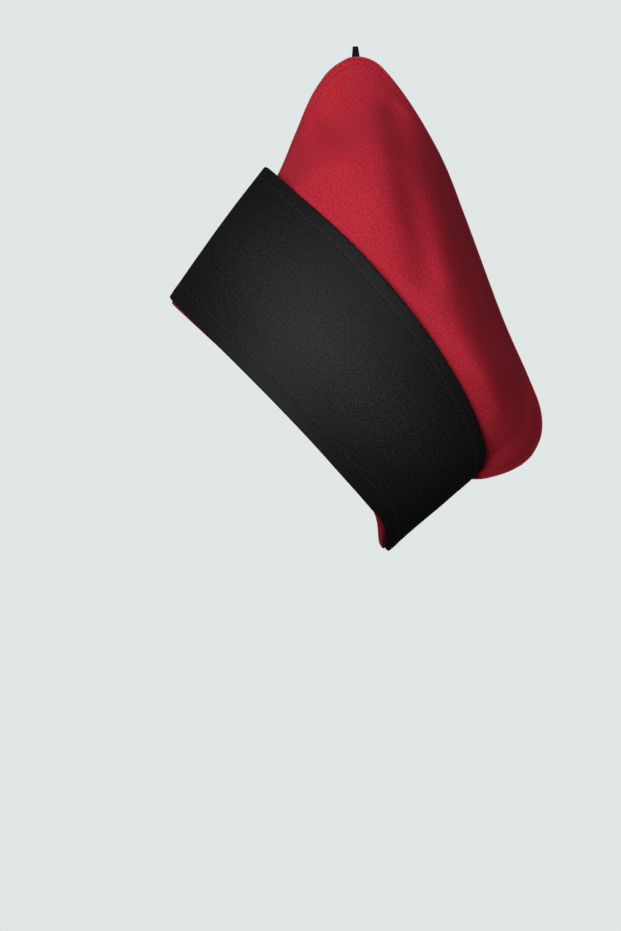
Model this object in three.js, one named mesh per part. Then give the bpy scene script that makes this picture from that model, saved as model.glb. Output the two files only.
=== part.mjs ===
// Chef cap: a boat-shaped crown of two red cloth panels, sewn along a front seam, a ridge and a rear seam,
// inside a tall black cuff of two halves that stands free of the crown at its upper edge.
// Millimetres, +Z up. The front faces -Y and the wearer's left is +X. The cap stands on its rim at Z = 0.

import * as THREE from "three";

const { clamp, lerp, smoothstep, degToRad, radToDeg } = THREE.MathUtils;

// Driving dimensions of the cuff, on its outer face
const RIM_LENGTH = 212.8;
const RIM_HALF_WIDTH = 84;
const CUFF_TOP_HALF_WIDTH = 75;
const CUFF_LEAN = 23.2; // how far the front of the upper edge leans forward of the rim
const CUFF_BULGE = 1.3; // how far the front stands out between its two edges
const CUFF_WALL = 2.4; // two layers of twill and the stiffener between them
const HEM_SHOWS = { ends: 1.3, sides: -0.7 }; // how far the crown's hem reaches below the cuff

// Driving dimensions of the crown
const CROWN_WALL = 1.6;
const HEM_WALL = 2.6; // the cloth is turned up inside along the rim
const HEM_HEIGHT = 12;
const CROWN_GAP = 0.5; // between the crown and the cuff at the front and the rear of the rim
const CUFF_CLEARANCE = 0.9; // that the crown keeps from the cuff all the way up
const SEAM_GAP = 0.3; // between the two panels, and between the two halves of the cuff

// The rim is flat at the front and the rear and arches up over the ears, by angle from the front
const ARCH_HEIGHT = 10.8;
const ARCH = { start: degToRad(10), high: degToRad(110), fall: degToRad(141), end: degToRad(170) };

// Upper edge of the cuff: angle from the front in degrees, height above the rim
const CUFF_TOP_EDGE = [
  [0, 101],
  [40, 101],
  [80, 105.5],
  [105, 104],
  [125, 99.6],
  [145, 92.6],
  [165, 83.5],
  [173, 77],
  [180, 68.4],
];

// Seam lines of the crown in the middle plane: distance behind the front of the rim, height
const CROWN_FRONT = CUFF_WALL + CROWN_GAP;
const CROWN_REAR = RIM_LENGTH - CUFF_WALL - CROWN_GAP;
const FRONT_SEAM = [
  [CROWN_FRONT, 0],
  [-1, 30],
  [-5.5, 65],
  [-13.5, 100],
  [-26.8, 128],
  [-38, 150],
  [-43.3, 167],
  [-44, 177],
];
const RIDGE_SEAM = [
  [-44, 177],
  [-41.3, 188.3],
  [-33, 196.4],
  [-20, 199.6],
  [8, 197.8],
  [47, 190],
  [86, 176.5],
  [147, 154],
  [187, 141.7],
  [207, 134.6],
  [220, 124.5],
  [226.4, 111.5],
  [227, 101],
];
const REAR_SEAM = [
  [CROWN_REAR, 0],
  [CROWN_REAR - 1.2, 20],
  [CROWN_REAR - 2.2, 58],
  [CROWN_REAR - 1, 67.5],
  [213.8, 71.8],
  [219, 78.8],
  [224.5, 91],
  [227, 101],
];

// Half width of the crown away from its seams: height, half width
const CROWN_WIDTH = [
  [0, RIM_HALF_WIDTH - CUFF_WALL - CROWN_GAP],
  [30, 78.2],
  [60, 75],
  [90, 72.4],
  [110, 71],
  [130, 69],
  [150, 67],
  [200, 64],
];

// How much of that half width a panel has reached: distance from the seam in the side view, share
const FULL_WIDTH_FROM = 60;
const CROWN_SWELL = [
  [0, 0],
  [3.4, 0.115],
  [8.6, 0.285],
  [14, 0.455],
  [20, 0.635],
  [26, 0.785],
  [33, 0.905],
  [41, 0.975],
  [51, 1],
  [FULL_WIDTH_FROM, 1],
];
// Between these heights the plan changes from the rim's ellipse to the swell
const SWELL_HEIGHTS = { from: 20, to: 80 };
// The peak narrows by the taper towards its tip, between these places and heights
const TIP = { taper: 0.6, behind: 50, ahead: -44, below: 110, above: 180 };
// The crown narrows by the taper towards its rear, between these places
const REAR = { taper: 0.4, from: 160, to: 225 };
// Millimetres that the crown widens for each one above the cuff's edge, and from how far above it
const OVER_EDGE = { front: 0.5, rear: 0.9, from: 6 };
const BEHIND_CUFF = 7; // the crown is free to widen behind the cuff, by the distance squared over this one
// How softly the swell changes into the room inside the cuff: softer above the cuff and behind its front
const ROUNDING = { least: 1, most: 10, below: 50, above: 90, ahead: -15, behind: 30 };
const ROOM_PASSES = 3; // the cuff's edge is read this often, each time nearer to the point's own angle
const SEAM_STEP = 2; // length of the straight pieces that distances from the seam are measured to
const EVEN = { from: 2, to: 8, power: 4 }; // distances over which the measure changes to an evened-out one
const SEAM_CROWDING = 0.6; // how far the columns of the grid draw together at the seams
const RIDGE_CROWDING = 1.3; // exponent by which the rows of the grid draw together at the ridge

// Soft folds of each panel as seen from the side: a line from one point to another, and how far the
// cloth goes in there, fading over the spread
const FOLDS = {
  left: [
    { from: [-40, 157], to: [-4, 152], depth: 6.5, spread: 10 },
    { from: [8, 181], to: [98, 128], depth: 6.5, spread: 11 },
  ],
  right: [
    { from: [-36, 160], to: [0, 156], depth: 4, spread: 12 },
    { from: [22, 176], to: [112, 130], depth: 4, spread: 12 },
  ],
};
const FOLD_FADE = 14; // half width below which a fold fades out towards the seams

// Tab in the seam at the tip: its seat is a share of the ridge seam, its taper is end width to base width
const TAB = { width: 4.8, thickness: 2.4, height: 6, seat: 0.047, taper: 0.7 };

const CROWN_GRID = { columns: 34, rows: 26 };
const CUFF_GRID = { columns: 30, rows: 8 };
const EDGE_INSET = 0.02; // normals are read this share in from the edges of a face
const NORMAL_STEP = 0.004;

const RED_TWILL = { color: 0xa82532, roughness: 0.8, metalness: 0 };
const BLACK_TWILL = { color: 0x1d1c1f, roughness: 0.75, metalness: 0 };

/** Smooth function through the rows of a table of [place, value]. */
function smoothTable(table) {
  const places = table.map(([place]) => place);
  const values = table.map(([, value]) => value);
  const curve = new THREE.CubicInterpolant(places, values, 1);
  return (place) => curve.evaluate(place)[0];
}

const cuffTopHeight = smoothTable(CUFF_TOP_EDGE);
const crownHalfWidth = smoothTable(CROWN_WIDTH);
const crownSwell = smoothTable(CROWN_SWELL);
const seamCurve = (rows) => new THREE.SplineCurve(rows.map(([y, z]) => new THREE.Vector2(y, z)));
const frontSeam = seamCurve(FRONT_SEAM);
const ridgeSeam = seamCurve(RIDGE_SEAM);
const rearSeam = seamCurve(REAR_SEAM);
const seamPoints = [frontSeam, ridgeSeam, rearSeam].map((seam) => {
  return seam.getSpacedPoints(Math.round(seam.getLength() / SEAM_STEP));
});

/** Height of the crown's rim above the surface, at an angle from the front. */
function rimArch(angle) {
  const rise = smoothstep(angle, ARCH.start, ARCH.high);
  return ARCH_HEIGHT * rise * (1 - smoothstep(angle, ARCH.fall, ARCH.end));
}

/** How far the folds draw a panel in at a point of the side view. */
function foldDepth(folds, y, z) {
  let depth = 0;
  const point = new THREE.Vector3(y, z, 0);
  for (const fold of folds) {
    const line = new THREE.Line3(new THREE.Vector3(...fold.from, 0), new THREE.Vector3(...fold.to, 0));
    const nearest = line.closestPointToPoint(point, true, new THREE.Vector3());
    depth += fold.depth * Math.exp(-((nearest.distanceTo(point) / fold.spread) ** 2));
  }
  return depth;
}

/** Distance of a point of the side view from the seam, evened out where two stretches of it are near. */
function seamDistance(point) {
  let near = Infinity;
  let pull = 0;
  for (const points of seamPoints) {
    for (let k = 1; k < points.length; k += 1) {
      const step = points[k].clone().sub(points[k - 1]);
      const away = point.clone().sub(points[k - 1]);
      const share = clamp(away.dot(step) / step.lengthSq(), 0, 1);
      near = Math.min(near, away.distanceTo(step.clone().multiplyScalar(share)));
      const middle = step.clone().multiplyScalar(1 / 2);
      pull += step.length() / away.distanceTo(middle) ** EVEN.power;
    }
  }
  const even = ((pull * 2) / Math.PI) ** (1 / (1 - EVEN.power));
  return Math.min(lerp(near, even, smoothstep(near, EVEN.from, EVEN.to)), FULL_WIDTH_FROM);
}

/** Half width that the cuff leaves for the crown at a point of the side view: its inside, and more above. */
function cuffRoom(y, z) {
  const inset = CUFF_WALL + CUFF_CLEARANCE;
  const rear = RIM_LENGTH - inset;
  let angle = Math.PI / 2;
  let edge = cuffTopHeight(radToDeg(angle));
  for (let pass = 0; pass < ROOM_PASSES; pass += 1) {
    const reach = clamp(z / edge, 0, 1);
    const front = inset - CUFF_LEAN * reach - CUFF_BULGE * Math.sin(Math.PI * reach);
    angle = Math.acos(clamp(1 - (2 * (y - front)) / (rear - front), -1, 1));
    edge = cuffTopHeight(radToDeg(angle));
  }
  const half = lerp(RIM_HALF_WIDTH, CUFF_TOP_HALF_WIDTH, clamp(z / edge, 0, 1)) - inset;
  const rate = lerp(OVER_EDGE.front, OVER_EDGE.rear, angle / Math.PI);
  const above = rate * Math.max(z - edge - OVER_EDGE.from, 0);
  return half * Math.sin(angle) + above + Math.max(y - RIM_LENGTH, 0) ** 2 / BEHIND_CUFF;
}

/** Half width of a panel at a point of the side view, without its folds. */
function crownWidth(side, angle) {
  const [y, z] = side.toArray();
  const round = Math.max(Math.sin(angle), 0);
  const swollen = smoothstep(z, SWELL_HEIGHTS.from, SWELL_HEIGHTS.to);
  const share = lerp(round, crownSwell(seamDistance(side)), swollen);
  const tip = (1 - smoothstep(y, TIP.ahead, TIP.behind)) * smoothstep(z, TIP.below, TIP.above);
  const rear = smoothstep(y, REAR.from, REAR.to) * swollen;
  const swell = crownHalfWidth(z) * share * (1 - TIP.taper * tip) * (1 - REAR.taper * rear);
  const room = cuffRoom(y, z);
  const high = smoothstep(z, ROUNDING.below, ROUNDING.above);
  const far = smoothstep(y, ROUNDING.ahead, ROUNDING.behind);
  const rounding = lerp(ROUNDING.least, ROUNDING.most, high * far);
  return Math.max((swell + room - Math.hypot(swell - room, rounding)) / 2, 0);
}

/** Point of a crown panel's outer face: across from front to rear seam (0 to 1), up from rim to ridge. */
function crownPoint(folds, across, up) {
  const angle = Math.PI * across;
  const share = lerp(across, (1 - Math.cos(angle)) / 2, SEAM_CROWDING);
  const rim = new THREE.Vector2(lerp(CROWN_FRONT, CROWN_REAR, (1 - Math.cos(angle)) / 2), rimArch(angle));
  const ridge = ridgeSeam.getPointAt(share);
  const front = frontSeam.getPointAt(up);
  const rear = rearSeam.getPointAt(up);
  const corners = new THREE.Vector2()
    .addScaledVector(frontSeam.getPoint(0), (1 - across) * (1 - up))
    .addScaledVector(rearSeam.getPoint(0), across * (1 - up))
    .addScaledVector(frontSeam.getPoint(1), (1 - across) * up)
    .addScaledVector(rearSeam.getPoint(1), across * up);
  const side = new THREE.Vector2()
    .addScaledVector(rim, 1 - up)
    .addScaledVector(ridge, up)
    .addScaledVector(front, 1 - across)
    .addScaledVector(rear, across)
    .sub(corners);
  const width = crownWidth(side, angle);
  const fold = foldDepth(folds, side.x, side.y) * smoothstep(width, 0, FOLD_FADE);
  return new THREE.Vector3(SEAM_GAP / 2 + Math.max(width - fold, 0), side.x, side.y);
}

/** Point of a cuff half's outer face: across from front to rear seam (0 to 1), up from edge to edge. */
function cuffPoint(across, up) {
  const angle = Math.PI * across;
  const front = -CUFF_LEAN * up - CUFF_BULGE * Math.sin(Math.PI * up);
  const y = lerp(front, RIM_LENGTH, (1 - Math.cos(angle)) / 2);
  const width = lerp(RIM_HALF_WIDTH, CUFF_TOP_HALF_WIDTH, up) - SEAM_GAP / 2;
  const low = rimArch(angle) + lerp(HEM_SHOWS.sides, HEM_SHOWS.ends, Math.cos(angle) ** 2);
  const high = cuffTopHeight(radToDeg(angle));
  return new THREE.Vector3(SEAM_GAP / 2 + width * Math.max(Math.sin(angle), 0), y, lerp(low, high, up));
}

/** Outward normal of a face, taken just inside its edges. */
function faceNormal(pointAt, across, up) {
  const u = clamp(across, EDGE_INSET, 1 - EDGE_INSET);
  const v = clamp(up, EDGE_INSET, 1 - EDGE_INSET);
  const along = pointAt(u + NORMAL_STEP, v).sub(pointAt(u - NORMAL_STEP, v));
  const rise = pointAt(u, v + NORMAL_STEP).sub(pointAt(u, v - NORMAL_STEP));
  return along.cross(rise);
}

/**
 * Closed wall of cloth between an outer face and the same face moved in by its thickness. At a seam the
 * wall is measured in the middle plane, and where it is level, as at a flat edge, it is measured across.
 */
function clothWall({ pointAt, wallAt, isSeam, isLevel, columns, rows, mirrored }) {
  const positions = [];
  for (const layer of [0, 1]) {
    for (let i = 0; i <= columns; i += 1) {
      for (let j = 0; j <= rows; j += 1) {
        const across = i / columns;
        const up = j / rows;
        const point = pointAt(across, up);
        const normal = faceNormal(pointAt, across, up);
        if (isSeam(across, up)) normal.x = 0;
        if (isLevel(up)) normal.z = 0;
        point.addScaledVector(normal.normalize(), -layer * wallAt(up));
        point.x = Math.max(point.x, SEAM_GAP / 2);
        positions.push(mirrored ? -point.x : point.x, point.y, point.z);
      }
    }
  }
  const at = (layer, i, j) => (layer * (columns + 1) + i) * (rows + 1) + j;
  const triangles = [];
  const quad = (a, b, c, d) => {
    if (mirrored) triangles.push(a, c, b, a, d, c);
    else triangles.push(a, b, c, a, c, d);
  };
  for (let i = 0; i < columns; i += 1) {
    for (let j = 0; j < rows; j += 1) {
      quad(at(0, i, j), at(0, i + 1, j), at(0, i + 1, j + 1), at(0, i, j + 1));
      quad(at(1, i, j), at(1, i, j + 1), at(1, i + 1, j + 1), at(1, i + 1, j));
    }
    quad(at(0, i, 0), at(1, i, 0), at(1, i + 1, 0), at(0, i + 1, 0));
    quad(at(0, i, rows), at(0, i + 1, rows), at(1, i + 1, rows), at(1, i, rows));
  }
  for (let j = 0; j < rows; j += 1) {
    quad(at(0, 0, j), at(0, 0, j + 1), at(1, 0, j + 1), at(1, 0, j));
    quad(at(0, columns, j), at(1, columns, j), at(1, columns, j + 1), at(0, columns, j + 1));
  }
  const geometry = new THREE.BufferGeometry();
  geometry.setAttribute("position", new THREE.Float32BufferAttribute(positions, 3));
  geometry.setIndex(triangles);
  geometry.computeVertexNormals();
  return geometry;
}

/** A named piece with a finish of its own. */
function piece(name, geometry, finish) {
  const mesh = new THREE.Mesh(geometry, new THREE.MeshStandardMaterial(finish));
  mesh.name = name;
  return mesh;
}

/** One red panel of the crown, from its hem at the rim up to the ridge. */
function crownPanel(side) {
  const hemTop = HEM_HEIGHT / frontSeam.getLength();
  const geometry = clothWall({
    pointAt: (across, up) => crownPoint(FOLDS[side], across, 1 - (1 - up) ** RIDGE_CROWDING),
    wallAt: (up) => (up < hemTop ? HEM_WALL : CROWN_WALL),
    isSeam: (across, up) => across === 0 || across === 1 || up === 1,
    isLevel: (up) => up === 0,
    ...CROWN_GRID,
    mirrored: side === "right",
  });
  return piece(`crown_${side}`, geometry, RED_TWILL);
}

/** One black half of the cuff. */
function cuffHalf(side) {
  const geometry = clothWall({
    pointAt: cuffPoint,
    wallAt: () => CUFF_WALL,
    isSeam: (across) => across === 0 || across === 1,
    isLevel: () => true,
    ...CUFF_GRID,
    mirrored: side === "right",
  });
  return piece(`cuff_${side}`, geometry, BLACK_TWILL);
}

/** The black tab that stands out of the seam at the tip. */
function topTab() {
  const seat = ridgeSeam.getPointAt(TAB.seat);
  const along = ridgeSeam.getTangentAt(TAB.seat);
  const outline = new THREE.Shape();
  const half = TAB.width / 2;
  outline.moveTo(-half, 0);
  outline.lineTo(half, 0);
  outline.lineTo(half * TAB.taper, TAB.height);
  outline.lineTo(-half * TAB.taper, TAB.height);
  outline.closePath();
  const geometry = new THREE.ExtrudeGeometry(outline, { depth: TAB.thickness, bevelEnabled: false });
  geometry.translate(0, SEAM_GAP, -TAB.thickness / 2);
  const mesh = piece("top_tab", geometry, BLACK_TWILL);
  const out = new THREE.Vector3(0, -along.y, along.x);
  const forward = new THREE.Vector3(0, along.x, along.y);
  const turn = new THREE.Matrix4().makeBasis(forward, out, forward.clone().cross(out));
  mesh.quaternion.setFromRotationMatrix(turn);
  mesh.position.set(0, seat.x, seat.y);
  return mesh;
}

const cap = new THREE.Group();
for (const side of ["left", "right"]) cap.add(crownPanel(side), cuffHalf(side));
cap.add(topTab());

// The origin is under the middle of the cap
const box = new THREE.Box3().setFromObject(cap, true);
cap.position.y = -(box.min.y + box.max.y) / 2;
cap.updateMatrixWorld(true);

export default cap;
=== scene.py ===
import math
import bpy
import numpy as np
from mathutils import Matrix, Vector, noise
from mathutils.bvhtree import BVHTree


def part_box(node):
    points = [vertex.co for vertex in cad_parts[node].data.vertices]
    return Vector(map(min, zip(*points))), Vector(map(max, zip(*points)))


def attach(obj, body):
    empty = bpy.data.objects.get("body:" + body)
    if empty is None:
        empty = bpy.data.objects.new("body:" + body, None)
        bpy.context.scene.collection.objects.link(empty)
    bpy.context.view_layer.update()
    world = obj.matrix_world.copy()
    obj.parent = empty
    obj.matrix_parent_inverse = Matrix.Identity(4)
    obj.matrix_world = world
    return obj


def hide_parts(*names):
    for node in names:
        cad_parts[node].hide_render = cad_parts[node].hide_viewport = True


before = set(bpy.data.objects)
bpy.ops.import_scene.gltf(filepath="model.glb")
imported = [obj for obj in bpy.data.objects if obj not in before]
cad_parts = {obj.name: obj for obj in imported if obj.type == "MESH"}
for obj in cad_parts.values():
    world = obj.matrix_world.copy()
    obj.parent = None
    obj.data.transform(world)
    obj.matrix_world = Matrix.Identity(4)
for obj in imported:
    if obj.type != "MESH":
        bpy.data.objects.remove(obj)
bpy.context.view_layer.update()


# Cuff: two halves of black gabardine, each folded double over a stiffener and sewn together at the front
# and the rear. It stands up around the crown, leans forward, and is joined to it only along the rim.
# Sizes are in millimetres, and places along the cap are counted back from the front of the rim.
MM = 0.001
RIM_LENGTH, RIM_HALF_WIDTH = 212.8, 84
RIM_ARCH = 10.8
RIM_ARCH_DEGREES = (10, 110, 141, 170)
CUFF_TOP_HALF_WIDTH = 75
CUFF_LEAN = 23.2
CUFF_BULGE = 1.3
CUFF_WALL = 2.2
# Rows of degrees from the front and the height of the upper edge there
CUFF_TOP_EDGE = [(0, 101), (40, 101), (80, 105.5), (105, 104), (125, 99.6), (145, 92.6), (165, 83.5),
                 (173, 77), (180, 68.4)]
HEM_SHOWS_ENDS, HEM_SHOWS_SIDES = 1.3, -0.7
CUFF_HEM = 10
CUFF_HEM_SWELL, CUFF_HEM_FULLNESS = 0.2, 0.8
CUFF_EDGE_ROW = 7.8
# Depth and width of the creases along the two rows of stitches
CUFF_HEM_CREASE, CUFF_EDGE_CREASE = (0.06, 0.9), (0.16, 0.8)
# Rows of height, size of bump and shift of the pattern
CUFF_UNEVEN = [(0.5, 48, 0), (0.14, 16, 60)]
CUFF_UNEVEN_ABOVE = (2, 20)
# Painted light: a lighter patch on the middle of each half, by its strength, its centre (place, height) and
# its spread
CUFF_PAINTED_LIGHT, CUFF_PAINTED_LIGHT_AT, CUFF_PAINTED_LIGHT_SPREAD = 0.5, (105, 54), (90, 30)
CUFF_COLUMNS, CUFF_CROWDING = 220, 0.25
CUFF_LOW_BAND, CUFF_HIGH_BAND = 14, 10
CUFF_LOW_ROWS, CUFF_MIDDLE_ROWS, CUFF_HIGH_ROWS, CUFF_INSIDE_ROWS, CUFF_BEND_ROWS = 18, 34, 14, 20, 9
SEAM_ROLL = 0.6
INSIDE_ROLL = -0.5
MERGE = 0.01
WALES_ACROSS, WALES_ALONG, WALE_WANDER = 1750, 900, 7
PICKS_ACROSS, PICKS_ALONG, PICK_WANDER = 500, 2600, 5
PICK_RELIEF, YARN_RELIEF = 0.35, 0.4
YARN_TONE, PATCH_TONE, LEAST_TONE, WEAR_AND_LIGHT_SPECKS = 0.4, 0.5, 0.15, 0.7
WANDER_SIZE, MOTTLE_SIZE, PATCH_SIZE = 0.006, 0.0016, 0.035
MOTTLE_LOW, MOTTLE_HIGH = 0.34, 0.66
MOTTLE_ROUGHNESS = 0.18
# How dark the cloth is painted where shade is painted on, and how much rougher it is there
PAINTED_SHADE_DARKNESS, SEAM_ROUGHNESS = 0.2, 0.35
NAP_ROUGHNESS = 0.4
BUMP_STRENGTH, BUMP_DEPTH = 0.5, 0.0001
WHITE = (1, 1, 1, 1)
front_of_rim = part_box("cuff_left")[1].y - RIM_LENGTH * MM


def smoothstep(value, low, high):
    """0 below low, 1 above high, smooth between them."""
    share = np.clip((value - low) / (high - low), 0, 1)
    return share * share * (3 - 2 * share)


def lerp(first, second, share):
    """Value that lies at that share of the way from the first to the second."""
    return first + (second - first) * share


def hill(value, middle, width):
    """1 at the middle, falling smoothly to 0 over about that width on each side."""
    return np.exp(-(((value - middle) / width) ** 2))


def smooth_table(rows):
    """Smooth function through rows of (place, value)."""
    places, values = np.array(rows, float).T
    slopes = np.gradient(values, places)

    def read(place):
        i = np.clip(np.searchsorted(places, place) - 1, 0, len(places) - 2)
        step = places[i + 1] - places[i]
        t = (place - places[i]) / step
        rise = (3 - 2 * t) * t * t
        start, end = t * (1 - t) ** 2, t * t * (t - 1)
        return lerp(values[i], values[i + 1], rise) + step * (start * slopes[i] + end * slopes[i + 1])

    return read


cuff_top = smooth_table(CUFF_TOP_EDGE)


def rim_arch(angle):
    """Height of the rim above the surface that the cap stands on, by angle from the front."""
    start, high, fall, end = np.radians(RIM_ARCH_DEGREES)
    return RIM_ARCH * smoothstep(angle, start, high) * (1 - smoothstep(angle, fall, end))


def cuff_low(angle):
    """Height of the cuff's lower edge, which leaves the crown's hem showing at the front and the rear."""
    return rim_arch(angle) + lerp(HEM_SHOWS_SIDES, HEM_SHOWS_ENDS, np.cos(angle) ** 2)


def ripple(points, size):
    """Smooth random height, within about 1 either way, with bumps of that size."""
    flat = points.reshape(-1, 3) / size
    return np.array([noise.noise(Vector(p)) for p in flat]).reshape(points.shape[:2])


def flat_cloth(name, columns, rows):
    """A flat sheet of so many squares, with each vertex's column and row."""
    bpy.ops.object.select_all(action="DESELECT")
    bpy.ops.mesh.primitive_grid_add(x_subdivisions=columns, y_subdivisions=rows, size=1)
    sheet = bpy.context.object
    sheet.name = sheet.data.name = name
    place = np.empty(len(sheet.data.vertices) * 3)
    sheet.data.vertices.foreach_get("co", place)
    place = place.reshape(-1, 3) + 0.5
    return sheet, np.rint(place[:, 0] * columns).astype(int), np.rint(place[:, 1] * rows).astype(int)


def shape_cloth(sheet, column, row, points, side):
    """Moves the sheet's vertices to a grid of points, and sets its UV map to lengths on the cloth."""
    run = np.linalg.norm(np.diff(points, axis=1), axis=-1)
    rise = np.linalg.norm(np.diff(points, axis=0), axis=-1)
    u = np.concatenate([np.zeros((len(points), 1)), np.cumsum(run, 1)], 1)
    u -= u[:, points.shape[1] // 2, None]
    v = np.concatenate([np.zeros((1, points.shape[1])), np.cumsum(rise, 0)], 0)
    placed = points * MM
    placed[..., 1] += front_of_rim
    if side == "right":
        placed = placed[:, ::-1] * (-1, 1, 1)
        u, v = -u[:, ::-1], v[:, ::-1]
    sheet.data.vertices.foreach_set("co", placed[row, column].ravel())
    corner = np.empty(len(sheet.data.loops), int)
    sheet.data.loops.foreach_get("vertex_index", corner)
    lengths = np.stack([u, v], -1)[row, column] * MM
    sheet.data.uv_layers.active.data.foreach_set("uv", lengths[corner].ravel())
    sheet.data.update()


def mark_cloth(sheet, column, row, name, values, side):
    """Keeps a grid of values on the sheet's vertices, under the name by which its finish reads them."""
    values = values[:, ::-1] if side == "right" else values
    sheet.data.attributes.new(name, "FLOAT", "POINT").data.foreach_set("value", values[row, column])


def apply_modifier(piece, kind, **settings):
    """Adds a modifier with those settings and applies it."""
    bpy.ops.object.select_all(action="DESELECT")
    piece.select_set(True)
    bpy.context.view_layer.objects.active = piece
    modifier = piece.modifiers.new(kind.title(), kind)
    for name, value in settings.items():
        setattr(modifier, name, value)
    bpy.ops.object.modifier_apply(modifier=modifier.name)


class Tone:
    """A socket of a finish. Arithmetic on it adds Math nodes, and node() adds a node of any other kind."""

    def __init__(self, tree, socket=None):
        self.tree = tree
        self.socket = socket

    def node(self, kind, settings, sockets, output=0):
        """A node of that kind: its settings are made first, then its sockets take their values or links."""
        made = self.tree.nodes.new(kind)
        for name, value in settings.items():
            setattr(made, name, value)
        for name, value in sockets.items():
            if isinstance(value, Tone):
                self.tree.links.new(value.socket, made.inputs[name])
            else:
                made.inputs[name].default_value = value
        return Tone(self.tree, made.outputs[output])

    def math(self, operation, first, second=0.0, third=0.0):
        return self.node("ShaderNodeMath", {"operation": operation}, {0: first, 1: second, 2: third})

    def __add__(self, other):
        return self.math("ADD", self, other)

    def __sub__(self, other):
        return self.math("SUBTRACT", self, other)

    def __rsub__(self, other):
        return self.math("SUBTRACT", other, self)

    def __mul__(self, other):
        return self.math("MULTIPLY", self, other)

    __radd__ = __add__
    __rmul__ = __mul__

    def swing(self):
        """Its sine, moved to run from 0 to 1."""
        return self.math("SINE", self) * 0.5 + 0.5

    def clouds(self, place, size, detail=3.0):
        """Soft cloudy pattern from 0 to 1, with clouds of about that size in metres."""
        return self.node("ShaderNodeTexNoise", {}, {"Vector": place, "Scale": 1 / size, "Detail": detail})

    def mix(self, share, first, second):
        """Colour between two colours."""
        return self.node("ShaderNodeMix", {"data_type": "RGBA"}, {0: share, 6: first, 7: second}, 2)

    def relief(self, height):
        """Normal of a surface that is raised by that height."""
        return self.node("ShaderNodeBump", {}, {"Strength": BUMP_STRENGTH, "Distance": BUMP_DEPTH,
                                                "Height": height})

    def feed(self, shader, name):
        """Links it to a socket of the shader."""
        self.tree.links.new(self.socket, shader.inputs[name])


def new_finish(name):
    """A finish, its shader and a start for its nodes."""
    finish = bpy.data.materials.new(name)
    finish.use_nodes = True
    tree = finish.node_tree
    return finish, tree.nodes["Principled BSDF"], Tone(tree)


def twill(name, ground, wale_light, wale_dark, grain, roughness, gloss, glint=WHITE, nap=0.0):
    """Gabardine: a fine steep twill with a mottled grain, lighter where worn and where light is painted on,
    with painted shade.
    """
    finish, shader, start = new_finish(name)
    cloth = start.node("ShaderNodeUVMap", {}, {})
    across = start.node("ShaderNodeSeparateXYZ", {}, {0: cloth}, 0)
    along = start.node("ShaderNodeSeparateXYZ", {}, {0: cloth}, 1)
    wander = start.clouds(cloth, WANDER_SIZE)
    wales = across * WALES_ACROSS + along * WALES_ALONG
    wale = (wales * (2 * math.pi) + wander * WALE_WANDER).swing()
    picks = along * PICKS_ALONG - across * PICKS_ACROSS
    pick = (picks * (2 * math.pi) + wander * PICK_WANDER).swing()
    yarn = wale * (pick * PICK_RELIEF + (1 - PICK_RELIEF))
    mottle = start.clouds(cloth, MOTTLE_SIZE, detail=4.0)
    patch = start.clouds(cloth, PATCH_SIZE, detail=2.0)
    wear_and_painted_light = start.node("ShaderNodeAttribute", {"attribute_name": "wear_and_painted_light"}, {}, 2)
    shade = start.node("ShaderNodeAttribute", {"attribute_name": "shade"}, {}, 2)
    speck = start.node("ShaderNodeMapRange", {}, {0: mottle, 1: MOTTLE_LOW, 2: MOTTLE_HIGH})
    colour = start.mix(yarn * YARN_TONE + patch * PATCH_TONE + LEAST_TONE, wale_dark, ground)
    # Lighter where the cloth is worn and where light is painted on, broken up by the grain's specks
    specked_wear_and_painted_light = wear_and_painted_light * (speck * WEAR_AND_LIGHT_SPECKS + (1 - WEAR_AND_LIGHT_SPECKS))
    colour = start.mix(speck * grain + specked_wear_and_painted_light, colour, wale_light)
    # Painted shade: darker where the shade attribute marks the seam's edge and the hem
    colour = start.mix(shade, colour, tuple(PAINTED_SHADE_DARKNESS * part for part in wale_dark))
    rough = roughness + (mottle - 0.5) * MOTTLE_ROUGHNESS + shade * SEAM_ROUGHNESS
    colour.feed(shader, "Base Color")
    rough.feed(shader, "Roughness")
    start.relief(yarn * YARN_RELIEF + speck * (1 - YARN_RELIEF)).feed(shader, "Normal")
    shader.inputs["Specular IOR Level"].default_value = gloss
    shader.inputs["Specular Tint"].default_value = glint
    shader.inputs["Sheen Weight"].default_value = nap
    shader.inputs["Sheen Roughness"].default_value = NAP_ROUGHNESS
    shader.inputs["Sheen Tint"].default_value = glint
    return finish


black_twill = twill("black_twill", ground=(0.0036, 0.0036, 0.0042, 1), wale_light=(0.033, 0.033, 0.036, 1),
                    wale_dark=(0.001, 0.001, 0.0014, 1), grain=0.22, roughness=0.62, gloss=0.16)


def cuff_face(across, height):
    """Outer face of a half at heights above its lower edge, and its outward direction."""
    angle = np.pi * across
    low = cuff_low(angle)
    up = height / (cuff_top(np.degrees(angle)) - low)
    front = -CUFF_LEAN * up - CUFF_BULGE * np.sin(np.pi * up)
    half = lerp(RIM_HALF_WIDTH, CUFF_TOP_HALF_WIDTH, up)
    x = half * np.sin(angle)
    y = lerp(front, RIM_LENGTH, (1 - np.cos(angle)) / 2)
    out = np.stack([np.sin(angle) / half, -np.cos(angle) * 2 / (RIM_LENGTH - front), 0 * x], -1)
    return np.stack([x, y, low + height], -1), out / np.linalg.norm(out, axis=-1, keepdims=True)


def cuff_relief(points, height, full):
    """How far the face stands out: the swollen hem, the creases at the stitching, slight unevenness."""
    hem = CUFF_HEM_SWELL * np.sin(np.pi * np.clip(height / CUFF_HEM, 0, 1)) ** CUFF_HEM_FULLNESS
    hem -= CUFF_HEM_CREASE[0] * hill(height, CUFF_HEM, CUFF_HEM_CREASE[1])
    edge = CUFF_EDGE_CREASE[0] * hill(height, full - CUFF_EDGE_ROW, CUFF_EDGE_CREASE[1])
    uneven = sum(deep * ripple(points + shift, size) for deep, size, shift in CUFF_UNEVEN)
    return hem - edge + uneven * smoothstep(height, *CUFF_UNEVEN_ABOVE)


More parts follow.
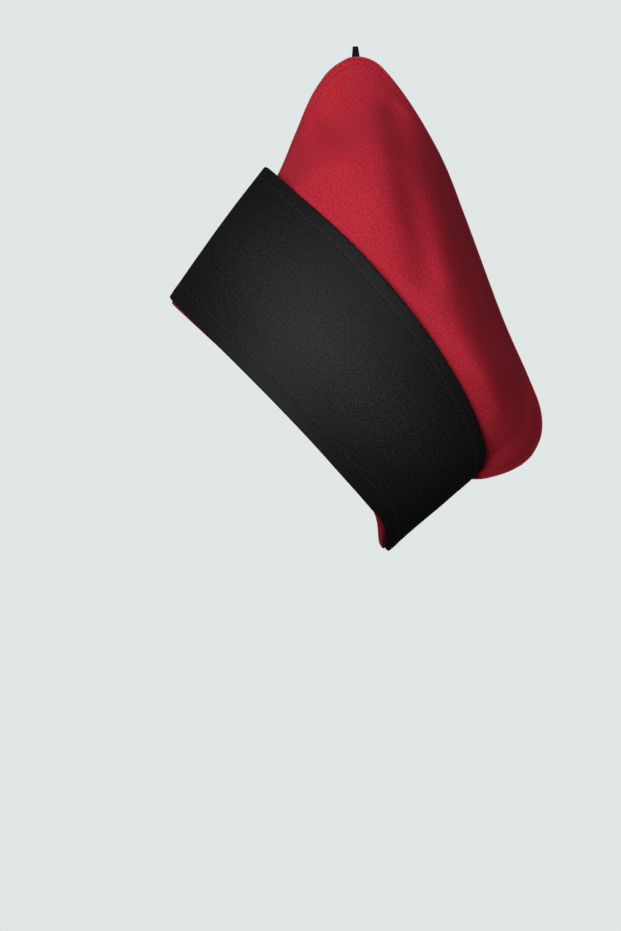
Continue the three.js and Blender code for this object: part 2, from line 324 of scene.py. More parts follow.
def cuff_half(side):
    """One half: up its outer face, over the folded top edge, down inside and round the lower edge."""
    fold = CUFF_WALL / 2
    low_rows = np.linspace(fold, CUFF_LOW_BAND, CUFF_LOW_ROWS)
    middle_rows = np.linspace(0, 1, CUFF_MIDDLE_ROWS)[1:-1]
    high_rows = np.linspace(CUFF_HIGH_BAND, fold, CUFF_HIGH_ROWS)
    start = np.concatenate([low_rows, lerp(CUFF_LOW_BAND, -CUFF_HIGH_BAND, middle_rows), -high_rows])
    share = np.concatenate([0 * low_rows, middle_rows, 0 * high_rows + 1])
    bend = np.linspace(0, np.pi, CUFF_BEND_ROWS)[1:-1]
    even = np.linspace(0, 1, CUFF_COLUMNS + 1)
    across = lerp(even, (1 - np.cos(np.pi * even)) / 2, CUFF_CROWDING)
    angle = np.pi * across
    full = cuff_top(np.degrees(angle)) - cuff_low(angle)
    height = start[:, None] + share[:, None] * full
    outer, out = cuff_face(across + 0 * height, height)
    outer += out * cuff_relief(outer, height, full)[..., None]
    upward = np.array([0, 0, fold])
    top = outer[-1] - out[-1] * fold
    over = np.stack([top + out[-1] * fold * math.cos(b) + upward * math.sin(b) for b in bend])
    inside_height = lerp(fold, full - fold, np.linspace(1, 0, CUFF_INSIDE_ROWS)[:, None])
    inside, inside_out = cuff_face(across + 0 * inside_height, inside_height)
    inside -= inside_out * CUFF_WALL
    foot = outer[0] - out[0] * fold
    under = np.stack([foot - out[0] * fold * math.cos(b) - upward * math.sin(b) for b in bend])
    loop = np.concatenate([outer, over, inside, under, outer[:1]])
    roll = np.maximum(SEAM_ROLL - loop[..., 0], 0)
    roll = SEAM_ROLL - np.sqrt(np.maximum(SEAM_ROLL ** 2 - roll ** 2, 0))
    faces_out = np.ones(len(loop))
    faces_out[len(outer) + len(over) // 2:-1 - len(under) // 2] = INSIDE_ROLL
    loop[..., 1] += roll * faces_out[:, None] * np.where(across < 0.5, 1, -1)
    loop[..., 0] = np.maximum(loop[..., 0], 0)

    half, column, row = flat_cloth(f"cuff_half_{side}", CUFF_COLUMNS, len(loop) - 1)
    shape_cloth(half, column, row, loop, side)
    # Painted light: each half is painted lighter in its middle, as a pool of light falling on it
    wear_and_painted_light = (CUFF_PAINTED_LIGHT * hill(loop[..., 1], CUFF_PAINTED_LIGHT_AT[0], CUFF_PAINTED_LIGHT_SPREAD[0])
           * hill(loop[..., 2], CUFF_PAINTED_LIGHT_AT[1], CUFF_PAINTED_LIGHT_SPREAD[1]))
    mark_cloth(half, column, row, "wear_and_painted_light", wear_and_painted_light, side)
    bpy.ops.object.mode_set(mode="EDIT")
    bpy.ops.mesh.select_all(action="SELECT")
    bpy.ops.mesh.remove_doubles(threshold=MERGE * MM)
    bpy.ops.mesh.select_all(action="DESELECT")
    bpy.ops.mesh.select_non_manifold()
    bpy.ops.mesh.fill_holes(sides=0)
    bpy.ops.mesh.select_all(action="SELECT")
    bpy.ops.mesh.normals_make_consistent(inside=False)
    bpy.ops.object.mode_set(mode="OBJECT")
    bpy.ops.object.shade_smooth()
    half.data.materials.append(black_twill)
    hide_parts(f"cuff_{side}")
    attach(half, "root")


for side in ("left", "right"):
    cuff_half(side)


# Stitching of the cuff: a row of grey-black thread above the hem and one below the folded edge.
# Lockstitch in twisted thread, each stitch a short raised bead sunk a little into the cloth.
CUFF_PITCH = 3.4
CUFF_STITCH = 2.4
CUFF_ROW_FROM, CUFF_ROW_TO, CUFF_ROW_POINTS = 0.006, 0.994, 260
THREAD = 0.22
CUFF_THREAD_PROUD = 0.3
STITCH_SEGMENTS, STITCH_RINGS = 8, 6
PLIES, TWIST, PLY_PAINTED_LIGHT = 2, 5, 0.6
FIBRE_SIZE, FIBRE_ROUGHNESS, FIBRE_RELIEF = 0.0006, 0.2, 0.5
THREAD_GLOSS = 0.3


def thread_finish(name, pale, deep, roughness):
    """Twisted sewing thread: two plies wound round each other, with a painted highlight on their crowns and
    painted shade between them.
    """
    finish, shader, start = new_finish(name)
    wound = start.node("ShaderNodeUVMap", {}, {})
    around = start.node("ShaderNodeSeparateXYZ", {}, {0: wound}, 0)
    along = start.node("ShaderNodeSeparateXYZ", {}, {0: wound}, 1)
    ply = ((around * PLIES + along * TWIST) * (2 * math.pi)).swing()
    place = start.node("ShaderNodeTexCoord", {}, {}, 3)
    fibre = start.clouds(place, FIBRE_SIZE)
    # Painted light: pale on the plies' crowns, dark in the grooves between them
    colour = start.mix(ply * PLY_PAINTED_LIGHT + fibre * (1 - PLY_PAINTED_LIGHT), deep, pale)
    rough = roughness + (fibre - 0.5) * FIBRE_ROUGHNESS
    colour.feed(shader, "Base Color")
    rough.feed(shader, "Roughness")
    start.relief(ply + fibre * FIBRE_RELIEF).feed(shader, "Normal")
    shader.inputs["Specular IOR Level"].default_value = THREAD_GLOSS
    return finish


def stitch_row(name, points, pitch, length):
    """A row of stitches along a line of points in metres: one stitch, repeated and bent along the line."""
    guide = bpy.data.curves.new(f"{name}_guide", "CURVE")
    guide.dimensions = "3D"
    line = guide.splines.new("POLY")
    line.points.add(len(points) - 1)
    line.points.foreach_set("co", np.column_stack([points, np.ones(len(points))]).ravel())
    guide_line = bpy.data.objects.new(guide.name, guide)
    bpy.context.collection.objects.link(guide_line)
    bpy.ops.object.select_all(action="DESELECT")
    bpy.ops.mesh.primitive_uv_sphere_add(segments=STITCH_SEGMENTS, ring_count=STITCH_RINGS, radius=1)
    row = bpy.context.object
    row.name = row.data.name = name
    bpy.ops.object.mode_set(mode="EDIT")
    bpy.ops.mesh.select_all(action="SELECT")
    bpy.ops.transform.rotate(value=math.pi / 2, orient_axis="Y", center_override=(0, 0, 0))
    bpy.ops.transform.resize(value=(length / 2 * MM, THREAD * MM, THREAD * MM), center_override=(0, 0, 0))
    bpy.ops.transform.translate(value=(pitch / 2 * MM, 0, 0))
    bpy.ops.object.mode_set(mode="OBJECT")
    apply_modifier(row, "ARRAY", fit_type="FIT_CURVE", curve=guide_line, use_relative_offset=False,
                   use_constant_offset=True, constant_offset_displace=(pitch * MM, 0, 0))
    apply_modifier(row, "CURVE", object=guide_line, deform_axis="POS_X")
    bpy.data.objects.remove(guide_line)
    return row


def join_rows(name, rows, finish):
    """The rows of one group as one piece."""
    bpy.ops.object.select_all(action="DESELECT")
    for row in rows:
        row.select_set(True)
    bpy.context.view_layer.objects.active = rows[0]
    bpy.ops.object.join()
    joined = rows[0]
    joined.name = joined.data.name = name
    bpy.ops.object.shade_smooth()
    joined.data.materials.append(finish)
    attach(joined, "root")


# Thread colours: first the painted highlight on the plies' crowns, then the painted shade between them
cuff_thread = thread_finish("cuff_thread", (0.045, 0.045, 0.05, 1), (0.015, 0.015, 0.017, 1), 0.5)
across = np.linspace(CUFF_ROW_FROM, CUFF_ROW_TO, CUFF_ROW_POINTS)[None]
angle = np.pi * across
full = cuff_top(np.degrees(angle)) - cuff_low(angle)
for side in ("left", "right"):
    rows = []
    for k, height in enumerate((CUFF_HEM + 0 * across, full - CUFF_EDGE_ROW)):
        line, out = cuff_face(across, height)
        proud = cuff_relief(line, height, full) + THREAD * CUFF_THREAD_PROUD
        line = (line + out * proud[..., None])[0] * MM
        line[:, 1] += front_of_rim
        line[:, 0] *= 1 if side == "left" else -1
        rows.append(stitch_row(f"cuff_row_{side}_{k}", line, CUFF_PITCH, CUFF_STITCH))
    join_rows(f"cuff_stitching_{side}", rows, cuff_thread)


# Crown: two mirrored panels of crimson gabardine, sewn together along the front, the ridge and the rear.
# The seam allowances are pressed apart and topstitched, so the seam stands up as a low, stiff crest, and
# the slack cloth beside it falls in soft folds. The lower edge is turned up inside as a hem.
CROWN_FRONT, CROWN_REAR = 3.1, 209.7
CROWN_GAP = 0.8
# Rows of place and height
FRONT_SEAM = [(CROWN_FRONT, 0), (-1, 30), (-5.5, 65), (-13.5, 100), (-26.8, 128), (-38, 150), (-43.3, 167),
              (-44, 177)]
RIDGE_SEAM = [(-44, 177), (-41.3, 188.3), (-33, 196.4), (-20, 199.6), (8, 197.8), (47, 190), (86, 176.5),
              (147, 154), (187, 141.7), (207, 134.6), (220, 124.5), (226.4, 111.5), (227, 101)]
REAR_SEAM = [(CROWN_REAR, 0), (CROWN_REAR - 1.2, 20), (CROWN_REAR - 2.2, 58), (CROWN_REAR - 1, 67.5),
             (213.8, 71.8), (219, 78.8), (224.5, 91), (227, 101)]
# Rows of height and half width
HALF_WIDTH = [(0, 81.1), (30, 78.2), (60, 75), (90, 72.4), (110, 71), (130, 69), (150, 67), (200, 64)]
# Rows of distance from the seam and share of the half width
SWELL = [(0, 0), (3.4, 0.115), (8.6, 0.285), (14, 0.455), (20, 0.635), (26, 0.785), (33, 0.905), (41, 0.975),
         (51, 1), (60, 1), (80, 1), (140, 1)]
SWELL_HEIGHTS = (20, 80)
# The crown spreads by these rates above the cuff's edge, and freely behind the cuff
OVER_EDGE_FRONT, OVER_EDGE_REAR, OVER_EDGE_TIP, OVER_EDGE_FROM = 0.3, 0.9, 0.5, 3
OVER_EDGE_TIP_ANGLES = (0.1, 0.7)
BEHIND_CUFF, ROOM_ROUNDS = 7, 3
EDGE_ROUNDING, ROUNDING_HEIGHTS, ROUNDING_PLACES = 10, (50, 90), (-15, 30)
TIP_TAPER, TIP_FROM, TIP_TO = 0.6, (50, 110), (-44, 180)
TIP_PRESS, PRESS_FROM, PRESS_TO, PRESS_SOFTENS = 0.5, (24, 140), (-28, 153), 1.2
REAR_TAPER, REAR_PLACES = 0.4, (160, 225)
# Rows of start, end, depth and spread above and below the fold's line
FOLDS = {
    "left": [((-34, 149), (-12, 148), 2, 8, 14), ((8, 181), (98, 128), 6.5, 11, 11)],
    "right": [((-36, 156), (0, 152), 4, 9, 13), ((22, 176), (112, 130), 4, 12, 12)],
}
FOLD_BLEND, FOLD_FADE = 6, 14
CLOTH = 0.7
SPAN_SAMPLES, SEAM_SAMPLES, RIDGE_SAMPLES = 24, 160, 360
SEAM_STEP, LEAST_SQUARE, EVEN_STARTS, SEAM_BATCHES = 1.2, 0.25, (2, 8), 40
# Rows of sample along the whole seam and strength of its crest
CREST_STRENGTH = [(0, 0.1), (130, 0.35), (175, 1), (518, 1), (560, 0.5), (-1, 0.1)]
CREST_FALL, FALL_STARTS, FALL_ENDS = 0.5, (0, 6), (8, 42)
CREST_SQUEEZE, SQUEEZE_ENDS = 0.9, (1.5, 12)
CREST_PAD, PAD_STARTS, PAD_ENDS = 0.1, (0, 1.4), (5.6, 7.4)
TOPSTITCH = (2.8, 6.2)
STITCH_GROOVE, GROOVE_WIDTH = 0.16, 0.6
PUCKER, PUCKER_SIZE, PUCKER_STRETCH, PUCKER_REACH = 0.06, 7.5, 0.4, 6
SLACK_STARTS, BARE_HEIGHTS = (4, 22), (96, 120)
CROWN_UNEVEN = [(0.9, 34, 0), (0.3, 15, 90)]
SEAM_ALLOWANCE, ALLOWANCE_AT_RIM = 5, 2
HEM_TURN, HEM_HEIGHT = 0.9, 12
CREST_RUB, CREST_RUB_REACH = 0.25, 2.2
# Painted shade: a dark line along the seam's edge, and darker cloth over the hem and just above it
SEAM_SHADE, SEAM_SHADE_ENDS = 0.8, (0.2, 1.1)
HEM_SHADE, HEM_SHADE_ENDS = 0.6, (4, HEM_HEIGHT)
PANEL_COLUMNS, PANEL_ROWS, TUCK_ROWS, HEM_ROWS, TURN_ROWS = 196, 150, 4, 10, 6
COLUMN_CROWDING, RIDGE_CROWDING, ROW_CROWDING = 0.4, 0.6, 0.8


def seam_line(rows):
    """Smooth line in the cap's middle plane through rows of (place, height), read by share of its length."""
    ends = np.array([rows[0], *rows, rows[-1]], float)
    t = np.linspace(0, 1, SPAN_SAMPLES, endpoint=False)[:, None]
    spans = []
    for before, start, end, after in zip(ends, ends[1:], ends[2:], ends[3:]):
        leave, arrive = (end - before) / 2, (after - start) / 2
        cubic = 2 * (start - end) + leave + arrive
        square = 3 * (end - start) - 2 * leave - arrive
        spans.append(cubic * t ** 3 + square * t ** 2 + leave * t + start)
    line = np.vstack([*spans, ends[-1:]])
    run = np.concatenate([[0], np.cumsum(np.linalg.norm(np.diff(line, axis=0), axis=1))])
    return lambda share: np.stack([np.interp(share * run[-1], run, line[:, k]) for k in (0, 1)], -1)


front_seam, ridge_seam, rear_seam = seam_line(FRONT_SEAM), seam_line(RIDGE_SEAM), seam_line(REAR_SEAM)
half_width, swell = smooth_table(HALF_WIDTH), smooth_table(SWELL)
shares = np.linspace(0, 1, SEAM_SAMPLES)
ridge_shares = np.linspace(0, 1, RIDGE_SAMPLES)
whole_seam = np.vstack([front_seam(shares[:-1]), ridge_seam(ridge_shares), rear_seam(shares[::-1])[1:]])
seam_run = np.concatenate([[0], np.cumsum(np.linalg.norm(np.diff(whole_seam, axis=0), axis=1))])
seam_ahead = np.gradient(whole_seam, seam_run, axis=0)
seam_ahead /= np.linalg.norm(seam_ahead, axis=1)[:, None]
seam_inward = np.stack([seam_ahead[:, 1], -seam_ahead[:, 0]], -1)
crest_samples, crest_strengths = zip(*CREST_STRENGTH)
crest_strength = np.interp(seam_run, seam_run[list(crest_samples)], crest_strengths)


def fold_depth(folds, y, z):
    """How far the folds draw a panel in at points of the side view."""
    depth = np.zeros_like(y)
    for (y0, z0), (y1, z1), deep, spread_above, spread_below in folds:
        length = math.hypot(y1 - y0, z1 - z0)
        along = np.clip(((y - y0) * (y1 - y0) + (z - z0) * (z1 - z0)) / length ** 2, 0, 1)
        away = np.hypot(y - lerp(y0, y1, along), z - lerp(z0, z1, along))
        above = ((z - z0) * (y1 - y0) - (y - y0) * (z1 - z0)) / length
        spread = lerp(spread_below, spread_above, smoothstep(above, -FOLD_BLEND, FOLD_BLEND))
        depth += deep * hill(away, 0, spread)
    return depth


def from_seam(points):
    """Distance of points from the seam, its nearest sample, and the distance evened out at its bends."""
    flat = points.reshape(-1, 3)
    apart, even, index = np.empty(len(flat)), np.empty(len(flat)), np.empty(len(flat), int)
    for part in np.array_split(np.arange(len(flat)), SEAM_BATCHES):
        square = ((flat[part, None, 1:] - whole_seam[None]) ** 2).sum(-1) + flat[part, None, 0] ** 2
        near = index[part] = square.argmin(1)
        along = ((flat[part, 1:] - whole_seam[near]) * seam_ahead[near]).sum(1)
        along = np.clip(along, -SEAM_STEP, SEAM_STEP)
        apart[part] = np.sqrt(np.maximum(square.min(1) - along ** 2, 0))
        pull = (np.gradient(seam_run) / np.maximum(square, LEAST_SQUARE) ** 2).sum(1)
        even[part] = (pull * 2 / np.pi) ** (-1 / 3)
    even = lerp(apart, even, smoothstep(apart, *EVEN_STARTS))
    return [found.reshape(points.shape[:2]) for found in (apart, index, even)]


def cuff_room(y, z):
    """Half width that the cuff leaves for the crown at points of the side view, and more above its edge."""
    inset = CUFF_WALL + CROWN_GAP
    rear = RIM_LENGTH - inset
    edge = cuff_top(90.0)
    for _ in range(ROOM_ROUNDS):
        reach = np.clip(z / edge, 0, 1)
        front = inset - CUFF_LEAN * reach - CUFF_BULGE * np.sin(np.pi * reach)
        angle = np.arccos(np.clip(1 - 2 * (y - front) / (rear - front), -1, 1))
        edge = cuff_top(np.degrees(angle))
    half = lerp(RIM_HALF_WIDTH, CUFF_TOP_HALF_WIDTH, np.clip(z / edge, 0, 1)) - inset
    rate = lerp(OVER_EDGE_FRONT, OVER_EDGE_REAR, angle / np.pi)
    rate += OVER_EDGE_TIP * (1 - smoothstep(angle, *OVER_EDGE_TIP_ANGLES))
    above = rate * np.maximum(z - edge - OVER_EDGE_FROM, 0)
    return half * np.sin(angle) + above + np.maximum(y - RIM_LENGTH, 0) ** 2 / BEHIND_CUFF


def crown_face(folds, across, up):
    """Outer face of a panel, from front to rear seam and from rim to ridge, as (x, y, z)."""
    angle = np.pi * across
    round_share = (1 - np.cos(angle)) / 2
    u, v = across[..., None], up[..., None]
    rim = np.stack([lerp(CROWN_FRONT, CROWN_REAR, round_share), rim_arch(angle)], -1)
    ridge = ridge_seam(lerp(across, round_share, RIDGE_CROWDING))
    corners = ((1 - u) * (1 - v) * front_seam(0.0) + u * (1 - v) * rear_seam(0.0)
               + (1 - u) * v * front_seam(1.0) + u * v * rear_seam(1.0))
    side = (1 - v) * rim + v * ridge + (1 - u) * front_seam(up) + u * rear_seam(up) - corners
    y, z = side[..., 0], side[..., 1]
    _, _, even = from_seam(np.concatenate([0 * u, side], -1))
    swollen = smoothstep(z, *SWELL_HEIGHTS)
    plan = lerp(np.maximum(np.sin(angle), 0), swell(even), swollen)
    tip = smoothstep(y, TIP_FROM[0], TIP_TO[0]) * smoothstep(z, TIP_FROM[1], TIP_TO[1])
    shoulder = PRESS_FROM[1] - PRESS_SOFTENS * np.maximum(y - PRESS_TO[0], 0)
    press = smoothstep(y, PRESS_FROM[0], PRESS_TO[0]) * smoothstep(z, shoulder, PRESS_TO[1])
    rear = smoothstep(y, *REAR_PLACES) * swollen
    full = half_width(z) * plan * (1 - TIP_TAPER * tip) * (1 - TIP_PRESS * press) * (1 - REAR_TAPER * rear)
    room = cuff_room(y, z)
    rounding = EDGE_ROUNDING * smoothstep(z, *ROUNDING_HEIGHTS) * smoothstep(y, *ROUNDING_PLACES)
    width = np.maximum((full + room - np.hypot(full - room, rounding)) / 2, 0)
    fold = fold_depth(folds, y, z) * smoothstep(width, 0, FOLD_FADE)
    return np.concatenate([np.maximum(width - fold, 0)[..., None], side], -1)


def outward(points):
    """Outward unit normals of a grid of points."""
    normal = np.cross(np.gradient(points, axis=1), np.gradient(points, axis=0))
    return normal / np.maximum(np.linalg.norm(normal, axis=-1, keepdims=True), 1e-9)


red_twill = twill("red_twill", ground=(0.41, 0.018, 0.033, 1), wale_light=(0.58, 0.04, 0.065, 1),
                  wale_dark=(0.29, 0.01, 0.019, 1), grain=0.5, roughness=0.55, gloss=0.15,
                  glint=(1, 0.09, 0.14, 1), nap=0.2)


def crown_panel(side):
    """One panel with its turned hem and its seam allowances."""
    tuck, hem, columns, rows = TUCK_ROWS, HEM_ROWS, PANEL_COLUMNS, PANEL_ROWS
    panel, column, row = flat_cloth(f"crown_panel_{side}", columns + 2 * tuck, hem + rows + tuck)
    i = np.arange(columns + 2 * tuck + 1)
    j = np.arange(hem + rows + tuck + 1)
    even = np.clip((i - tuck) / columns, 0, 1)
    across = lerp(even, (1 - np.cos(np.pi * even)) / 2, COLUMN_CROWDING)
    even = np.clip((j - hem) / rows, 0, 1)
    up = lerp(even, 1 - (1 - even) ** 2, ROW_CROWDING)
    past = np.maximum(np.maximum(tuck - i, i - tuck - columns), 0)[None] + 0 * j[:, None]
    past = np.maximum(past, np.maximum(j - hem - rows, 0)[:, None]) / tuck
    across, up = np.meshgrid(across, up)
    points = crown_face(FOLDS[side], across, up)

    apart, near, _ = from_seam(points)
    strength = crest_strength[near]
    fall = CREST_FALL * strength * smoothstep(apart, *FALL_STARTS) * (1 - smoothstep(apart, *FALL_ENDS))
    roll = SEAM_ROLL * (1 - smoothstep(apart, 0, 2 * SEAM_ROLL))
    allowance = lerp(ALLOWANCE_AT_RIM, SEAM_ALLOWANCE, smoothstep(points[..., 2], 0, HEM_HEIGHT))
    points[..., 1:] += seam_inward[near] * (fall + roll + past * allowance)[..., None]
    squeeze = lerp(1, lerp(CREST_SQUEEZE, 1, smoothstep(apart, *SQUEEZE_ENDS)), strength)
    points[..., 0] = np.maximum(points[..., 0] * squeeze, np.minimum(apart, SEAM_ROLL))

    normal = outward(points)
    detail = CREST_PAD * strength * (1 - smoothstep(apart, *PAD_ENDS)) * smoothstep(apart, *PAD_STARTS)
    for line in TOPSTITCH:
        detail -= STITCH_GROOVE * strength * hill(apart, line, GROOVE_WIDTH)
    along_seam = np.stack([seam_run[near], apart * PUCKER_STRETCH, 0 * apart], -1)
    detail += PUCKER * strength * ripple(along_seam, PUCKER_SIZE) * hill(apart, PUCKER_REACH, PUCKER_REACH)
    slack = smoothstep(apart, *SLACK_STARTS) * smoothstep(points[..., 2], *BARE_HEIGHTS)
    detail += slack * sum(deep * ripple(points + shift, size) for deep, size, shift in CROWN_UNEVEN)
    points += normal * (detail * (past == 0))[..., None]

    rim = points[hem].copy()
    angle = np.pi * across[hem]
    rim[:, 2] = rim_arch(angle) + HEM_TURN
    points[hem] = rim
    inward = np.stack([-np.sin(angle) / RIM_HALF_WIDTH, 2 * np.cos(angle) / RIM_LENGTH, 0 * angle], -1)
    inward /= np.linalg.norm(inward, axis=1)[:, None]
    for below in range(1, hem + 1):
        turn = math.pi * min(below / TURN_ROWS, 1)
        turned_in = HEM_TURN * (1 - math.cos(turn))
        turned_up = HEM_HEIGHT * max(below - TURN_ROWS, 0) / (hem - TURN_ROWS)
        points[hem - below] = rim + inward * turned_in
        points[hem - below, :, 0] = np.hypot(points[hem - below, :, 0], turned_in)
        points[hem - below, :, 2] += turned_up - HEM_TURN * math.sin(turn)
    points[..., 0] = np.maximum(points[..., 0], 0)

    shape_cloth(panel, column, row, points, side)
    # Real wear: the crest is lighter right at the seam. This shares its attribute with the cuff's painted
    # light
    wear_and_painted_light = CREST_RUB * strength * hill(apart, 0, CREST_RUB_REACH) * (past == 0)
    mark_cloth(panel, column, row, "wear_and_painted_light", wear_and_painted_light, side)
    # Painted shade along the seam's edge and over the hem, kept in the shade attribute
    above_rim = points[..., 2] - rim_arch(np.pi * across)
    shade = np.maximum(SEAM_SHADE * (1 - smoothstep(apart, *SEAM_SHADE_ENDS)),
                       HEM_SHADE * (1 - smoothstep(above_rim, *HEM_SHADE_ENDS)))
    mark_cloth(panel, column, row, "shade", shade, side)
    apply_modifier(panel, "SOLIDIFY", thickness=CLOTH * MM, offset=-1)
    bpy.ops.object.shade_smooth()
    panel.data.materials.append(red_twill)
    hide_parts(f"crown_{side}")
    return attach(panel, "root")


panels = {side: crown_panel(side) for side in ("left", "right")}


# Topstitching of the crown: two rows of red thread on each side of the seam, sewn through the cloth and
# the pressed-open allowances under it, which they hold down.
STITCH_PITCH = 3.2
STITCH_LENGTH = 2.5
TOPSTITCH_FROM, TOPSTITCH_TO, TOPSTITCH_STEP = seam_run[60], seam_run[540], 0.9
CROWN_THREAD_PROUD = 0.25
SEARCH_FAR, SEARCH_STEPS = 0.1, 12


def beside_seam(surface, side, apart):
    """Points on a panel at a distance from the seam, along it, in metres."""
    out = 1 if side == "left" else -1
    found = []
    for run in np.arange(TOPSTITCH_FROM, TOPSTITCH_TO, TOPSTITCH_STEP):
        seam = np.array([np.interp(run, seam_run, whole_seam[:, k]) for k in (0, 1)])
        inward = np.array([np.interp(run, seam_run, seam_inward[:, k]) for k in (0, 1)])
        near, far = 0.0, apart + SEAM_ROLL
        for _ in range(SEARCH_STEPS):
            depth = (near + far) / 2
            y, z = (seam + inward * depth) * MM
            origin = Vector((out * SEARCH_FAR, y + front_of_rim, z))
            hit, normal, _, _ = surface.ray_cast(origin, Vector((-out, 0, 0)), SEARCH_FAR)
            reach = math.hypot(hit.x / MM, depth) if hit else apart
            near, far = (depth, far) if reach < apart else (near, depth)
        if hit:
            found.append(hit + normal * THREAD * CROWN_THREAD_PROUD * MM)
    return np.array(found)


# Thread colours: first the painted highlight on the plies' crowns, then the painted shade between them
crown_thread = thread_finish("crown_thread", (0.17, 0.006, 0.012, 1), (0.09, 0.003, 0.007, 1), 0.7)
for side, panel in panels.items():
    surface = BVHTree.FromObject(panel, bpy.context.evaluated_depsgraph_get())
    lines = [beside_seam(surface, side, apart) for apart in TOPSTITCH]
    rows = [stitch_row(f"topstitch_{side}_{k}", line, STITCH_PITCH, STITCH_LENGTH)
            for k, line in enumerate(lines)]
    join_rows(f"crown_topstitching_{side}", rows, crown_thread)


# Tab: a short end of narrow black tape, folded double over itself.
# Its ends are caught in the seam at the tip of the crown, so only the fold stands out.
TAB_SEAT, TAB_SEAT_STEP = 0.047, 0.01
TAB_WIDTH, TAB_TOP_WIDTH, TAB_HEIGHT, TAB_SUNK = 4.8, 3.4, 5.8, 2
TAB_FOLD, TAPE, TAPE_EDGE = 0.3, 0.5, 0.2
TAB_COLUMNS, TAB_ROWS, TAB_BEND = 12, 34, 0.3
black_tape = twill("black_tape", ground=(0.004, 0.004, 0.004, 1), wale_light=(0.012, 0.012, 0.013, 1),
                   wale_dark=(0.001, 0.001, 0.001, 1), grain=0.3, roughness=0.7, gloss=0.08)
tab, column, row = flat_cloth("top_tab_tape", TAB_COLUMNS, TAB_ROWS)
lap = np.linspace(-1, 1, TAB_ROWS + 1)
rise = TAB_HEIGHT - TAB_FOLD - TAPE / 2
turn = np.clip(lap / TAB_BEND, -1, 1) * np.pi / 2
depth = np.maximum(np.abs(lap) - TAB_BEND, 0) / (1 - TAB_BEND) * (rise + TAB_SUNK)
high = rise + TAB_FOLD * np.cos(turn) - depth
wide = lerp(TAB_WIDTH, TAB_TOP_WIDTH, np.clip(high / TAB_HEIGHT, 0, 1))
seat = ridge_seam(TAB_SEAT)
ahead = ridge_seam(TAB_SEAT + TAB_SEAT_STEP) - ridge_seam(TAB_SEAT - TAB_SEAT_STEP)
ahead /= np.linalg.norm(ahead)
away = np.array([-ahead[1], ahead[0]])
across = np.linspace(-0.5, 0.5, TAB_COLUMNS + 1)[None] * wide[:, None]
points = np.empty((TAB_ROWS + 1, TAB_COLUMNS + 1, 3))
points[..., 0] = (TAB_FOLD * np.sin(turn))[:, None]
points[..., 1:] = seat + across[..., None] * ahead + high[:, None, None] * away
shape_cloth(tab, column, row, points, "left")
apply_modifier(tab, "SOLIDIFY", thickness=TAPE * MM, offset=0)
apply_modifier(tab, "BEVEL", width=TAPE_EDGE * MM, segments=2, limit_method="ANGLE")
apply_modifier(tab, "SUBSURF", levels=1, render_levels=1)
bpy.ops.object.shade_smooth()
tab.data.materials.append(black_tape)
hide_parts("top_tab")
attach(tab, "root")


# Floor and backdrop: one seamless pale sweep all round, lit so evenly that no horizon shows.
# It isn't part of the cap, and it neither lights the cap nor is mirrored in it.
STAGE_RADIUS, STAGE_FLOOR, STAGE_CURVE = 4, 0.55, 0.3
STAGE_SEGMENTS, STAGE_RINGS = 96, 64
STAGE_PALE = (0.752, 0.791, 0.791, 1)
bpy.ops.object.select_all(action="DESELECT")
bpy.ops.mesh.primitive_uv_sphere_add(segments=STAGE_SEGMENTS, ring_count=STAGE_RINGS, radius=STAGE_RADIUS)
sweep = bpy.context.object
sweep.name = sweep.data.name = "sweep"
place = np.empty(len(sweep.data.vertices) * 3)
sweep.data.vertices.foreach_get("co", place)
place = place.reshape(-1, 3)
lift = place[:, 2] + STAGE_FLOOR * STAGE_RADIUS
place[:, 2] = (lift + np.hypot(lift, STAGE_CURVE)) / 2
place[:, 2] -= place[:, 2].min()
sweep.data.vertices.foreach_set("co", place.ravel())
bpy.ops.object.mode_set(mode="EDIT")
bpy.ops.mesh.select_all(action="SELECT")
bpy.ops.mesh.flip_normals()
bpy.ops.object.mode_set(mode="OBJECT")
bpy.ops.object.shade_smooth()
sweep_paint, paint, _ = new_finish("sweep_paint")
paint.inputs["Base Color"].default_value = (0, 0, 0, 1)
paint.inputs["Roughness"].default_value = 0.9
paint.inputs["Specular IOR Level"].default_value = 0
paint.inputs["Emission Color"].default_value = STAGE_PALE
paint.inputs["Emission Strength"].default_value = 1
sweep.data.materials.append(sweep_paint)
sweep.visible_diffuse = False
sweep.visible_glossy = False
sweep.visible_shadow = False


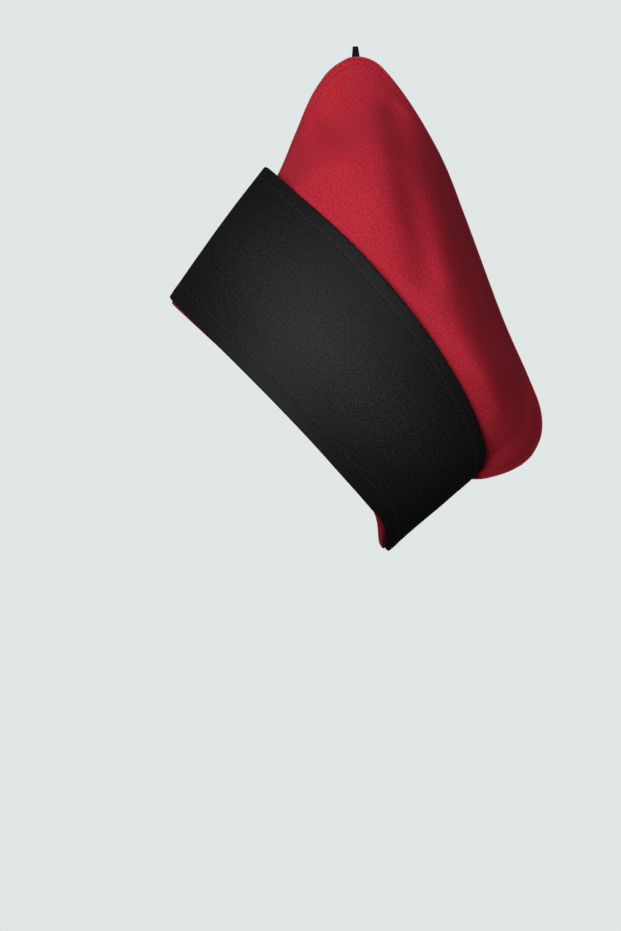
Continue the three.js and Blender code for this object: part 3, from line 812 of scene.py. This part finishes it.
# Light: a large soft box low down at the cap's left, a weaker one towards its front that adds no gloss,
# one on the far side, and a faint even fill.
BOX_SIZE = 0.9
BOX_AIM = Vector((0, 0, 0.1))
FILL = 0.05


def soft_box(name, place, power, shines=True):
    """A square area light, hidden from the camera, and from gloss unless it shines."""
    bpy.ops.object.light_add(type="AREA", location=place)
    box = bpy.context.object
    box.name = box.data.name = name
    box.data.size = BOX_SIZE
    box.data.energy = power
    box.rotation_mode = "QUATERNION"
    box.rotation_quaternion = (BOX_AIM - Vector(place)).to_track_quat("-Z", "Y")
    box.visible_camera = False
    box.visible_glossy = shines


soft_box("key_box", (1.72, -0.46, -0.16), 29)
soft_box("front_box", (0.9, -1.55, -0.16), 9, shines=False)
soft_box("far_box", (-1.6, 0.0, 0.1), 16)
world = bpy.data.worlds.new("even_fill")
world.use_nodes = True
world.node_tree.nodes["Background"].inputs["Color"].default_value = WHITE
world.node_tree.nodes["Background"].inputs["Strength"].default_value = FILL
bpy.context.scene.world = world
bpy.context.scene.view_settings.view_transform = "Standard"


# Camera: level with the rim at the cap's left, and rolled about its axis, as the cap is seen tipped back.
# The lens is set so that a metre in the cap's middle plane covers so many pixels of the picture.
CAMERA_FAR, CAMERA_HEIGHT = 1.0, 0.015
AIM_BEHIND, AIM_HEIGHT = 0.1392, -0.0006
PICTURE_RIGHT = Vector((0, 0.6518, 0.7584))
PIXELS_PER_METRE = 1570
IMAGE_HEIGHT = 931
aim = Vector((0, front_of_rim + AIM_BEHIND, AIM_HEIGHT))
stand = Vector((CAMERA_FAR, aim.y, CAMERA_HEIGHT))
back = (stand - aim).normalized()
rightward = (PICTURE_RIGHT - back * PICTURE_RIGHT.dot(back)).normalized()
upward = back.cross(rightward)
bpy.ops.object.camera_add()
camera = bpy.context.object
camera.matrix_world = Matrix.Translation(stand) @ Matrix((rightward, upward, back)).transposed().to_4x4()
camera.data.lens = camera.data.sensor_width * PIXELS_PER_METRE * (stand - aim).length / IMAGE_HEIGHT
camera.data.clip_start = 0.01
bpy.context.scene.camera = camera
